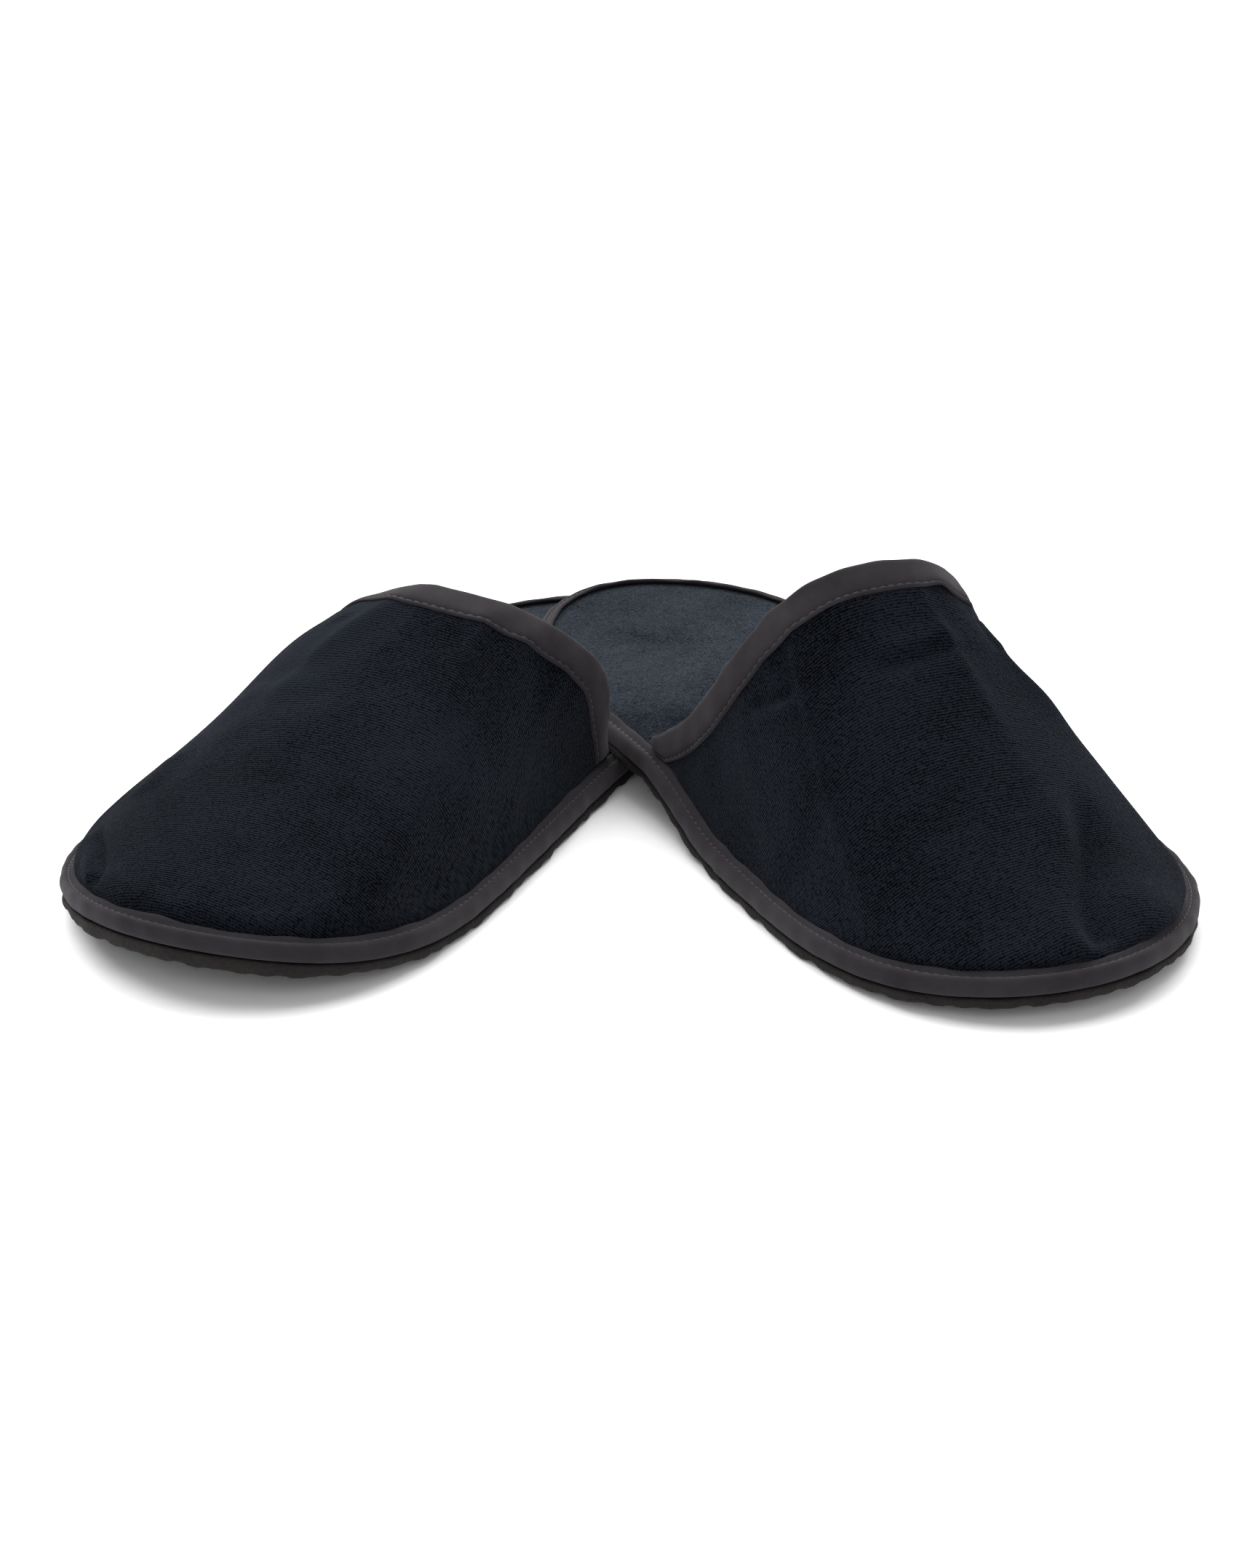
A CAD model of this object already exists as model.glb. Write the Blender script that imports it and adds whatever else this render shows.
"""The looks of a pair of navy velour spa slippers, one with its heel across the other's footbed.

Each slipper's pieces are made in its own flat frame (heel end at the origin, +Y to the toe, x
positive towards the medial side, +Z up), then bent and placed as the CAD pieces are.
"""

import math
from dataclasses import dataclass

import bmesh
import bpy
import numpy as np
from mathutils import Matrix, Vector


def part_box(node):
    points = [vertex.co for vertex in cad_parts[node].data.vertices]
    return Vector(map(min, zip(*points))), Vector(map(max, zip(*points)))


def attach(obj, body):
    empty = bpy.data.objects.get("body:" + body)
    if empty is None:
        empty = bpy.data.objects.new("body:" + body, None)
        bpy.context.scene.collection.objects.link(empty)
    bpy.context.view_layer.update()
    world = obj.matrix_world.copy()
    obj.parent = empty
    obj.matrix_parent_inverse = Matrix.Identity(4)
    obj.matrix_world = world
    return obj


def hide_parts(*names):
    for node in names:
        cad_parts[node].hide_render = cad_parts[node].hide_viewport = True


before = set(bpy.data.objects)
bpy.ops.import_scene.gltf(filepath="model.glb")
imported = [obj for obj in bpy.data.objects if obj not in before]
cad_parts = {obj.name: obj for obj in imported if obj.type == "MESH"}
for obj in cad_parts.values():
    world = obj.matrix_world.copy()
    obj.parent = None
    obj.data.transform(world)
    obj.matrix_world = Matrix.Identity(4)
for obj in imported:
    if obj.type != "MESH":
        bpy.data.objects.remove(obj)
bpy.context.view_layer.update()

# ---------------------------------------------------------------- the sole's outline, in metres
SOLE_LENGTH = 0.285
MEDIAL_STATIONS = ((0.13, 0.0423), (0.42, 0.0522), (0.69, 0.0572), (0.92, 0.0475))
LATERAL_STATIONS = ((0.13, 0.0427), (0.40, 0.0387), (0.66, 0.0550), (0.89, 0.0448))
TOE_TIP_SHIFT = 0.004
TOE_SPRING_START = 0.745
OUTSOLE_INSET = 0.0006
VAMP_BASE = 0.0081
VAMP_INSET = 0.0046
THROAT_END_HEIGHT = 0.0022
THROAT_EASE = 0.10
VAMP_OUTER_THICKNESS = 0.0033
LINING_DEPTH = 0.0040
VAMP_DEPTH = 0.0047
STITCH_PITCH = 0.0027
BASE_SAMPLES = 400


@dataclass
class Fold:
    """A valley (positive depth) or ridge along a line on the vamp, with a bank beside it."""

    line: tuple
    depth: float
    width: float
    bank: float = 0.0
    bank_side: float = 1.0


@dataclass
class Slipper:
    """What differs between the two slippers, in metres and degrees.

    folds, bumps, nap and tape_flare are placed by (s, t) on the vamp: see vamp_sheet.
    """

    name: str
    sign: int
    heel: tuple
    turn: float
    toe_lift: float
    heel_rise: float
    rise_end: float
    rise_start: float
    medial_end: float
    lateral_end: float
    top: float
    height: float
    lean: float
    shift: float
    power: float
    toe_power: float
    bulge: float
    tape_width: float
    arch: float
    overhang: float
    wall: float
    folds: tuple = ()
    bumps: tuple = ()
    footbed_folds: tuple = ()
    tape_flare: tuple = (0.0, 0.05, 0.0)
    toe_sag: float = 0.0
    lateral_drop: float = 0.0
    nap: tuple = ()
    seed: int = 1


RIGHT = Slipper(
    name="right",
    sign=-1,
    heel=(0.0038, 0.1262),
    turn=180 - 26.0,
    toe_lift=0.0125,
    heel_rise=0.0,
    rise_end=0.0,
    rise_start=0.1,
    medial_end=0.1215,
    lateral_end=0.1222,
    top=0.1535,
    height=0.0556,
    lean=1.20,
    shift=0.012,
    power=1.205,
    toe_power=-0.060,
    bulge=-0.0013,
    tape_width=0.0086,
    arch=2.515,
    overhang=0.0037,
    wall=0.0085,
    toe_sag=0.0012,
    lateral_drop=0.12,
    nap=((0.655, 0.20, 0.085, 0.22, 0.62), (0.72, 0.45, 0.05, 0.35, 0.12)),
    seed=3,
    folds=(
        Fold(((0.671, 0.817), (0.613, 0.842), (0.583, 0.908), (0.579, 0.975)), 0.0015, 0.0018, 0.0009, -1),
        Fold(((0.671, 0.875), (0.640, 0.930), (0.621, 0.985)), -0.0008, 0.0026),
        Fold(((0.740, 0.435), (0.646, 0.362), (0.567, 0.300)), 0.0008, 0.0045, 0.0006, -1),
        Fold(((0.690, 0.46), (0.600, 0.405), (0.512, 0.350)), 0.0006, 0.0050, 0.0004, -1),
        Fold(((0.700, 0.60), (0.655, 0.70)), -0.0011, 0.0050),
        Fold(((0.700, 0.15), (0.640, 0.22)), -0.0009, 0.0045),
        Fold(((0.300, 0.78), (0.200, 0.70), (0.12, 0.55)), 0.0006, 0.0050),
    ),
    bumps=(
        (0.15, 0.05, 0.016, 0.0045),
        (0.70, 0.24, 0.026, 0.0062),
        (0.70, 0.56, 0.018, -0.0006),
    ),
)
LEFT = Slipper(
    name="left",
    sign=1,
    heel=(-0.0062, 0.1165),
    turn=180 + 26.7,
    toe_lift=0.0052,
    heel_rise=0.0092,
    rise_end=0.43,
    rise_start=0.605,
    medial_end=0.1258,
    lateral_end=0.1235,
    top=0.1727,
    height=0.0723,
    lean=0.411,
    shift=0.0019,
    power=1.1535,
    toe_power=-0.290,
    bulge=0.0031,
    tape_width=0.0074,
    arch=2.6187,
    overhang=-0.0018,
    wall=0.0060,
    seed=8,
    nap=((0.61, 0.17, 0.07, 0.12, 0.12), (0.73, 0.45, 0.05, 0.35, 0.12)),
    folds=(
        Fold(
            (
                *((0.613, 0.600), (0.579, 0.667), (0.554, 0.708), (0.533, 0.758)),
                *((0.517, 0.817), (0.512, 0.892), (0.512, 0.975)),
            ),
            *(0.0038, 0.0044, 0.0018, 1),
        ),
        Fold(((0.450, 0.345), (0.490, 0.335), (0.537, 0.325), (0.600, 0.330)), 0.0012, 0.0022, 0.0008, -1),
        Fold(((0.700, 0.215), (0.690, 0.280), (0.680, 0.36)), 0.0012, 0.0024, 0.0010, -1),
        Fold(((0.200, 0.330), (0.250, 0.352), (0.317, 0.350)), 0.0009, 0.0018, 0.0005, 1),
        Fold(((0.30, 0.60), (0.26, 0.74), (0.25, 0.88)), 0.0006, 0.0050),
    ),
    bumps=(
        (0.575, 0.88, 0.011, 0.0028),
        (0.717, 0.475, 0.010, 0.0014),
        (0.640, 0.41, 0.012, -0.0008),
        (0.430, 0.80, 0.022, 0.0008),
    ),
    footbed_folds=(
        (
            ((0.030, 0.055), (0.024, 0.048), (0.012, 0.0485), (0.003, 0.056), (-0.010, 0.061)),
            *(0.0007, 0.0030),
        ),
        (((0.020, 0.014), (0.004, 0.020), (-0.014, 0.017)), 0.0003, 0.0030),
    ),
    tape_flare=(0.62, 0.03, 0.0016),
)


def smoothstep(t):
    t = np.clip(t, 0.0, 1.0)
    return t * t * (3 - 2 * t)


def running(steps):
    """Running totals of steps down the first axis, from zero."""
    return np.concatenate((np.zeros_like(steps[:1]), np.cumsum(steps, axis=0)))


def run_along(points):
    """Distances travelled down the first axis of a line, or of a grid of lines."""
    return running(np.linalg.norm(np.diff(points, axis=0), axis=-1))


def closed_spline(points, samples_per_span):
    """A closed cubic spline with continuous curvature through the points."""
    points = np.asarray(points, float)
    count = len(points)
    following = np.roll(points, -1, axis=0)
    span = np.linalg.norm(following - points, axis=1) ** 0.5
    before = np.roll(span, 1)
    slope = (following - points) / span[:, None]
    system = np.zeros((count, count))
    for i in range(count):
        system[i, i - 1] += before[i]
        system[i, i] += 2 * (before[i] + span[i])
        system[i, (i + 1) % count] += span[i]
    bend = np.linalg.solve(system, 6 * (slope - np.roll(slope, 1, axis=0)))
    curve = []
    for i in range(count):
        j = (i + 1) % count
        for t in np.arange(samples_per_span) / samples_per_span * span[i]:
            rest = span[i] - t
            curve.append(
                (bend[i] * rest**3 + bend[j] * t**3) / (6 * span[i])
                + (points[i] / span[i] - bend[i] * span[i] / 6) * rest
                + (points[j] / span[i] - bend[j] * span[i] / 6) * t
            )
    return np.array(curve)


def sole_outline():
    """The sole's edge from the heel end, round the medial side and the toe, and its inward normals."""
    points = [(0.0, 0.0)]
    points += [(half, share * SOLE_LENGTH) for share, half in MEDIAL_STATIONS]
    points += [(TOE_TIP_SHIFT, SOLE_LENGTH)]
    points += [(-half, share * SOLE_LENGTH) for share, half in reversed(LATERAL_STATIONS)]
    curve = closed_spline(points, 80)
    tangent = np.roll(curve, -1, axis=0) - np.roll(curve, 1, axis=0)
    tangent /= np.linalg.norm(tangent, axis=1)[:, None]
    return curve, np.column_stack((-tangent[:, 1], tangent[:, 0]))


OUTLINE, INWARD = sole_outline()
OUTLINE_COUNT = len(OUTLINE)
TIP = int(OUTLINE[:, 1].argmax())
TRAVELLED = running(np.linalg.norm(np.roll(OUTLINE, -1, axis=0) - OUTLINE, axis=1))
PERIMETER = TRAVELLED[-1]


def edge_at(index):
    """Points of the outline and its inward normals at fractional indices."""
    low = np.floor(index).astype(int)
    share = (index - low)[:, None]
    a, b = low % OUTLINE_COUNT, (low + 1) % OUTLINE_COUNT
    return OUTLINE[a] * (1 - share) + OUTLINE[b] * share, INWARD[a] * (1 - share) + INWARD[b] * share


def indices_at(distances):
    """Fractional indices of the points this far round the outline from the heel end."""
    return np.interp(distances, TRAVELLED, np.arange(OUTLINE_COUNT + 1))


def wobble(x, seed, wavelengths):
    """A smooth seeded wave of about unit height, with the given wavelengths, repeating at the perimeter."""
    draw = np.random.default_rng(seed)
    total = np.zeros_like(np.asarray(x, float))
    for wavelength in wavelengths:
        turns = max(1, round(PERIMETER / wavelength))
        total += np.sin(2 * math.pi * turns * x / PERIMETER + draw.uniform(0, 2 * math.pi))
    return total / len(wavelengths) ** 0.5


def bent(slipper, points):
    """Points of the flat slipper moved to where its sole bends: toe spring, and the raised heel."""
    points = np.array(points, float)
    share = points[..., 1] / SOLE_LENGTH
    spring = np.clip((share - TOE_SPRING_START) / (1 - TOE_SPRING_START), 0, 1) ** 2
    rise = smoothstep((slipper.rise_start - share) / (slipper.rise_start - slipper.rise_end))
    points[..., 2] += slipper.toe_lift * spring + slipper.heel_rise * rise
    points[..., 0] *= slipper.sign
    return points


def turned(slipper, points):
    points = bent(slipper, points)
    angle = math.radians(slipper.turn)
    x, y = points[..., 0].copy(), points[..., 1].copy()
    points[..., 0] = math.cos(angle) * x - math.sin(angle) * y + slipper.heel[0]
    points[..., 1] = math.sin(angle) * x + math.cos(angle) * y + slipper.heel[1]
    return points


def frame_shift():
    """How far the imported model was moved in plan, from the right outsole's box."""
    edge = OUTLINE + INWARD * OUTSOLE_INSET
    mine = turned(RIGHT, np.column_stack((edge, np.zeros(OUTLINE_COUNT))))
    low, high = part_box("right_outsole")
    middle = (mine.max(axis=0) + mine.min(axis=0)) / 2
    return np.array(((low.x + high.x) / 2 - middle[0], (low.y + high.y) / 2 - middle[1], 0.0))


SHIFT = frame_shift()


def placed(slipper, points):
    """Points of the flat slipper in the row frame."""
    return turned(slipper, points) + SHIFT


# ---------------------------------------------------------------- meshes
def grid_faces(rows, columns, wrap_rows=False, wrap_columns=False, start=0):
    """Quads between neighbouring points of a grid stored row by row."""
    r = np.arange(rows if wrap_rows else rows - 1)
    c = np.arange(columns if wrap_columns else columns - 1)
    r, c = (v.ravel() for v in np.meshgrid(r, c, indexing="ij"))
    r2, c2 = (r + 1) % rows, (c + 1) % columns
    quads = (r * columns + c, r * columns + c2, r2 * columns + c2, r2 * columns + c)
    return (np.column_stack(quads) + start).tolist()


def tube_faces(rings, sides, start):
    """Faces of a closed tube: its rings of points joined, and a cap on each end."""
    faces = grid_faces(rings, sides, wrap_columns=True, start=start)
    faces.append(list(range(start + sides - 1, start - 1, -1)))
    last = start + (rings - 1) * sides
    faces.append(list(range(last, last + sides)))
    return faces


def add_piece(slipper, name, points, faces, material, nodes, weave=None):
    """A closed mesh piece on the slipper's body, standing for some of its CAD nodes.

    weave is a cloth position per point, in metres, with how far the pile leans as its third number.
    """
    name = f"{slipper.name}_{name}"
    mesh = bpy.data.meshes.new(name)
    mesh.from_pydata(np.asarray(points).reshape(-1, 3).tolist(), [], faces)
    if weave is not None:
        layer = mesh.attributes.new("weave", "FLOAT_VECTOR", "POINT")
        layer.data.foreach_set("vector", np.asarray(weave, np.float32).ravel())
    work = bmesh.new()
    work.from_mesh(mesh)
    bmesh.ops.remove_doubles(work, verts=work.verts, dist=1e-7)
    bmesh.ops.recalc_face_normals(work, faces=work.faces)
    work.to_mesh(mesh)
    work.free()
    mesh.shade_smooth()
    mesh.materials.append(material)
    piece = bpy.data.objects.new(name, mesh)
    bpy.context.scene.collection.objects.link(piece)
    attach(piece, f"{slipper.name}_slipper")
    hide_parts(*(f"{slipper.name}_{node}" for node in nodes))
    return piece


def strip_weave(rows, run):
    """Cloth positions of a strip of tape: run along it, and the mean distance across it."""
    weave = np.zeros_like(rows)
    weave[..., 0] = run
    weave[..., 1] = running(np.linalg.norm(np.diff(rows, axis=0), axis=2).mean(axis=1))[:, None]
    return weave


def swept_ring(profile, sections):
    """A profile swept round the sole's edge.

    profile(distance) gives (inset, height) arrays for every profile point.  Returns points of
    shape (profile, sections, 3) in the flat frame, and their cloth positions.
    """
    distance = np.arange(sections) / sections * PERIMETER
    edge, inward = edge_at(indices_at(distance))
    rows = []
    for inset, height in profile(distance):
        plan = edge + inward * np.broadcast_to(inset, (sections,))[:, None]
        rows.append(np.column_stack((plan, np.broadcast_to(height, (sections,)))))
    rows = np.array(rows)
    return rows, strip_weave(rows, distance)


def paired_ring(half_count):
    """Outline indices round the edge from the heel end, as many down each side, which face in pairs."""
    share = 0.5 - 0.5 * np.cos(np.linspace(0, math.pi, half_count + 1))
    medial = indices_at(share * TRAVELLED[TIP])
    lateral = indices_at(PERIMETER - share * (PERIMETER - TRAVELLED[TIP]))
    return np.concatenate((medial, lateral[-2:0:-1]))


def plate(levels, top, half_count, columns):
    """A closed plate over the outline: edge rings at (inset, height) levels, then two caps.

    levels run from the underside to the top; top(points) shapes the upper cap's interior.
    """
    edge, inward = edge_at(paired_ring(half_count))
    size = len(edge)
    points = []
    for inset, height in levels:
        inset, height = (np.broadcast_to(v, (size,)) for v in (inset, height))
        points.append(np.column_stack((edge + inward * inset[:, None], height)))
    faces = grid_faces(len(levels), size, wrap_columns=True)
    points = np.vstack(points)
    for cap in (0, 1):
        start = cap * (len(levels) - 1) * size
        rows, inner = [], []
        count = len(points)
        for k in range(half_count + 1):
            left, right = start + k, start + (size - k) % size
            if 0 < k < half_count:
                share = np.arange(1, columns)[:, None] / columns
                line = points[left] + (points[right] - points[left]) * share
                ids = list(range(count, count + columns - 1))
                count += columns - 1
                inner.append(line)
                rows.append([left, *ids, right])
            else:
                rows.append([left] * (columns + 1))
        inner = np.vstack(inner)
        if cap:
            inner = top(inner)
        points = np.vstack((points, inner))
        for low, high in zip(rows, rows[1:]):
            for c in range(columns):
                faces.append(list(dict.fromkeys((low[c], low[c + 1], high[c + 1], high[c]))))
    return points, faces


def edge_distance(points):
    """Distance in plan from each point to the sole's edge."""
    nearest = np.full(len(points), 1.0)
    for x, y in OUTLINE[::3]:
        nearest = np.minimum(nearest, np.hypot(points[:, 0] - x, points[:, 1] - y))
    return nearest


def line_distance(points, line):
    """Distance from points to an open line, and the nearest segment and share along it."""
    best = np.full(points.shape[:-1], 1e9)
    segment = np.zeros(points.shape[:-1], int)
    along = np.zeros(points.shape[:-1])
    for i, (a, b) in enumerate(zip(line[:-1], line[1:])):
        t = (((points - a) @ (b - a)) / ((b - a) @ (b - a))).clip(0, 1)
        away = np.linalg.norm(points - a - t[..., None] * (b - a), axis=-1)
        closer = away < best
        best = np.where(closer, away, best)
        segment = np.where(closer, i, segment)
        along = np.where(closer, t, along)
    return best, segment, along


# ---------------------------------------------------------------- the vamp's shape
def signed_power(value, exponent):
    return np.sign(value) * np.abs(value) ** exponent


def eased(climbed, exponent):
    """A power of the climb from 0 to 1 whose slope stays finite where the throat leaves the sole."""
    low, high = THROAT_EASE**exponent, (1 + THROAT_EASE) ** exponent
    return ((climbed + THROAT_EASE) ** exponent - low) / (high - low)


def vamp_sheet(slipper, s, t, depth=0.0):
    """Points over the vamp at a depth below its face.

    s runs from the medial throat end (0) round the toe (0.5) to the lateral one (1), and t from
    the throat edge (0) to the sole (1).  Returns shape (len(t), len(s), 3), in the flat frame.
    """
    first = np.interp(slipper.medial_end, OUTLINE[:TIP, 1], np.arange(TIP))
    sides = OUTLINE[TIP:, 1][::-1]
    last = np.interp(slipper.lateral_end, sides, np.arange(OUTLINE_COUNT - 1, TIP - 1, -1))
    index = np.linspace(first, last, BASE_SAMPLES)
    edge, inward = edge_at(index)
    base = edge + inward * (VAMP_INSET + depth)
    length = run_along(base)
    toe = int(np.abs(index - TIP).argmin())
    share = np.where(
        np.arange(BASE_SAMPLES) <= toe,
        0.5 * length / length[toe],
        0.5 + 0.5 * (length - length[toe]) / (length[-1] - length[toe]),
    )
    foot = np.column_stack((np.interp(s, share, base[:, 0]), np.interp(s, share, base[:, 1])))
    lowest = math.asin(THROAT_END_HEIGHT / slipper.height)
    angle = lowest + (math.pi - 2 * lowest) * s
    exponent = 2 / slipper.arch
    up = np.sin(angle) ** exponent
    least = math.sin(lowest) ** exponent
    climbed = ((up - least) / (1 - least)).clip(0, 1)
    middle = (base[0, 0] + base[-1, 0]) / 2
    half_width = (base[0, 0] - base[-1, 0]) / 2
    sideways = signed_power(np.cos(angle), exponent) / math.cos(lowest) ** exponent
    end = slipper.medial_end + (slipper.lateral_end - slipper.medial_end) * s
    x = middle + half_width * sideways + slipper.shift * up**2
    y = end + (slipper.top - end) * eased(climbed, slipper.lean)
    y = y - slipper.overhang * 4 * climbed * (1 - climbed)
    rise = (slipper.height - depth) * up
    round_arch = np.sin(angle)
    power = slipper.power + slipper.toe_power * round_arch**2
    across = np.sin(t[:, None] * math.pi / 2) ** (2 / power)
    slope = np.clip(1 - across ** power, 0, 1) ** (1 / power)
    reach = np.hypot(foot[:, 0] - x, foot[:, 1] - y)
    wall = np.minimum(0.55, slipper.wall / np.maximum(rise, 1e-4))
    wall = wall * (0.25 + 0.75 * np.minimum(1, round_arch * 2.2))
    steepness = np.maximum(2.0, reach / 0.005)
    steep = np.clip(1 - across ** steepness, 0, 1) ** (1 / 2.2)
    height = (1 - wall) * slope + wall * steep
    lateral = smoothstep((s - 0.52) / 0.16)
    height = height * (1 - slipper.lateral_drop * lateral * (1 - t[:, None]) ** 3)
    swell = slipper.bulge * round_arch * np.sin(math.pi * across**1.3)
    return np.stack(
        (
            x + (foot[:, 0] - x) * across,
            y + (foot[:, 1] - y) * across,
            VAMP_BASE + rise * height + swell,
        ),
        axis=-1,
    )


def normals_of(sheet):
    """Outward normals of a vamp sheet."""
    normal = np.cross(np.gradient(sheet, axis=0), np.gradient(sheet, axis=1))
    normal /= np.maximum(np.linalg.norm(normal, axis=2), 1e-12)[..., None]
    return -normal if normal[..., 2].mean() < 0 else normal


def on_sheet(sheet, s, t, line):
    """Points of the sheet at (s, t) positions of a line."""
    found = []
    for at_s, at_t in line:
        i = at_s * (len(s) - 1)
        j = np.interp(at_t, t, np.arange(len(t)))
        i0, j0 = min(int(i), len(s) - 2), min(int(j), len(t) - 2)
        fi, fj = i - i0, j - j0
        near = sheet[j0, i0] * (1 - fi) + sheet[j0, i0 + 1] * fi
        far = sheet[j0 + 1, i0] * (1 - fi) + sheet[j0 + 1, i0 + 1] * fi
        found.append(near * (1 - fj) + far * fj)
    return np.array(found)


def smooth_line(line, count=24):
    """A smooth line through a few points."""
    line = np.array(line, float)
    if len(line) < 3:
        return line
    at = np.linspace(0, len(line) - 1, count)
    finer = np.column_stack([np.interp(at, np.arange(len(line)), line[:, k]) for k in range(2)])
    kernel = np.array([0.25, 0.5, 0.25])
    for _ in range(6):
        for k in range(2):
            finer[1:-1, k] = np.convolve(finer[:, k], kernel, "valid")
    return finer


def hand_folds(slipper, s, t):
    """Displacement of the vamp by the folds, pleats and bumps that the slipper is worn into."""
    sheet = vamp_sheet(slipper, s, t)
    normal = normals_of(sheet)
    moved = np.zeros(sheet.shape[:2])
    for fold in slipper.folds:
        line = on_sheet(sheet, s, t, smooth_line(fold.line))
        away, segment, share = line_distance(sheet, line)
        direction = np.gradient(line, axis=0)
        side = np.cross(direction[segment], normal)
        following = line[np.minimum(segment + 1, len(line) - 1)]
        nearest = line[segment] + (following - line[segment]) * share[..., None]
        sign = np.sign(((sheet - nearest) * side).sum(axis=2))
        progress = (segment + share) / (len(line) - 1)
        reaches_sole = fold.line[-1][1] >= 0.95
        if reaches_sole:
            fade = smoothstep(progress / 0.25) * (1 - 0.65 * smoothstep((progress - 0.85) / 0.15))
        else:
            fade = smoothstep(progress / 0.25) * smoothstep((1 - progress) / 0.25)
        signed = away * sign * fold.bank_side
        moved -= fold.depth * fade * np.exp(-((away / fold.width) ** 2))
        bank = np.exp(-(((signed - 2.1 * fold.width) / (1.5 * fold.width)) ** 2))
        moved += fold.bank * fade * bank
    moved = moved * (0.25 + 0.75 * smoothstep(t / 0.10))[:, None]
    for at_s, at_t, radius, height in slipper.bumps:
        centre = on_sheet(sheet, s, t, ((at_s, at_t),))[0]
        away = np.linalg.norm(sheet - centre, axis=2)
        moved += height * np.exp(-((away / radius) ** 2))
    held = smoothstep((1 - t) / 0.035)[:, None]
    ends = smoothstep(s / 0.05) * smoothstep((1 - s) / 0.05)
    return normal * (moved * held * ends[None, :])[..., None]


SIM_COLUMNS = 112
SIM_ROWS = 48
SIM_FRAMES = 20
SIM_CAP = 0.0016
SIM_SCALE = 10
BROAD_PASSES, BROAD_SHARE = 160, 0.85


def blurred(field, passes):
    """A field smoothed by repeated averaging with its neighbours."""
    for _ in range(passes):
        padded = np.pad(field, ((1, 1), (1, 1), (0, 0)), mode="edge")
        total = padded[1:-1, 1:-1] * 2 + padded[:-2, 1:-1] + padded[2:, 1:-1]
        field = (total + padded[1:-1, :-2] + padded[1:-1, 2:]) / 6
    return field


def cloth_folds(slipper):
    """How a pinned, slightly over-long sheet of velour buckles over its foam, by cloth simulation.

    The sheet is simulated enlarged, and most of its broad swelling is taken out of the result.
    """
    s, t = np.linspace(0, 1, SIM_COLUMNS), np.linspace(0, 1, SIM_ROWS)
    rest = vamp_sheet(slipper, s, t) * SIM_SCALE
    mesh = bpy.data.meshes.new("sim")
    mesh.from_pydata(rest.reshape(-1, 3).tolist(), [], grid_faces(SIM_ROWS, SIM_COLUMNS))
    sheet = bpy.data.objects.new("sim", mesh)
    bpy.context.scene.collection.objects.link(sheet)
    pin = sheet.vertex_groups.new(name="pin")
    for j in range(SIM_ROWS):
        for i in range(SIM_COLUMNS):
            rim = min(i, j, SIM_COLUMNS - 1 - i, SIM_ROWS - 1 - j)
            if rim < 2:
                pin.add([j * SIM_COLUMNS + i], 1.0 if rim == 0 else 0.6, "REPLACE")
    modifier = sheet.modifiers.new("Cloth", "CLOTH")
    cloth = modifier.settings
    cloth.quality = 7
    cloth.mass = 0.15
    cloth.tension_stiffness = 20
    cloth.compression_stiffness = 20
    cloth.shear_stiffness = 8
    cloth.bending_stiffness = 0.6
    cloth.use_pressure = True
    cloth.uniform_pressure_force = 4
    cloth.shrink_min = -0.02
    cloth.vertex_group_mass = "pin"
    cloth.effector_weights.gravity = 0
    modifier.point_cache.frame_start = 1
    modifier.point_cache.frame_end = SIM_FRAMES
    for number in range(1, SIM_FRAMES + 1):
        bpy.context.scene.frame_set(number)
    made = sheet.evaluated_get(bpy.context.evaluated_depsgraph_get()).to_mesh()
    co = np.empty(len(made.vertices) * 3, np.float32)
    made.vertices.foreach_get("co", co)
    bpy.data.objects.remove(sheet)
    bpy.context.scene.frame_set(1)
    moved = blurred((co.reshape(rest.shape) - rest) / SIM_SCALE, 2)
    moved -= BROAD_SHARE * blurred(moved, BROAD_PASSES)
    size = np.linalg.norm(moved, axis=2)
    moved *= (SIM_CAP * np.tanh(size / SIM_CAP) / np.maximum(size, 1e-9))[..., None]
    return blurred(moved, 5)


def resampled(field, s, t):
    """A field on the simulation's grid at other (s, t) positions, smoothly."""
    i, j = np.linspace(0, 1, field.shape[1]), np.linspace(0, 1, field.shape[0])
    out = np.empty((len(t), len(s), 3))
    for k in range(3):
        across = np.array([np.interp(s, i, row) for row in field[..., k]])
        out[..., k] = np.array([np.interp(t, j, column) for column in across.T]).T
    return out


class Vamp:
    """One slipper's vamp: its sheets at any depth, with every fold in them."""

    def __init__(self, slipper):
        self.slipper = slipper
        sim = cloth_folds(slipper)
        s, t = np.linspace(0, 1, 241), np.linspace(0, 1, 121)
        self.moved = hand_folds(slipper, s, t) + resampled(sim, s, t)

    def sheet(self, s, t, depth=0.0):
        return vamp_sheet(self.slipper, s, t, depth) + resampled(self.moved, s, t)


def shell(outer, inner):
    """Closed mesh between two sheets of the same size."""
    rows, columns = outer.shape[:2]
    points = np.vstack((outer.reshape(-1, 3), inner.reshape(-1, 3)))
    faces = grid_faces(rows, columns)
    faces += [face[::-1] for face in grid_faces(rows, columns, start=rows * columns)]
    border = list(range(columns))
    border += [columns * r + columns - 1 for r in range(1, rows)]
    border += [columns * (rows - 1) + i for i in range(columns - 2, -1, -1)]
    border += [columns * r for r in range(rows - 2, 0, -1)]
    top = rows * columns
    for a, b in zip(border, border[1:] + border[:1]):
        faces.append([b, a, a + top, b + top])
    return points, faces


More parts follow.
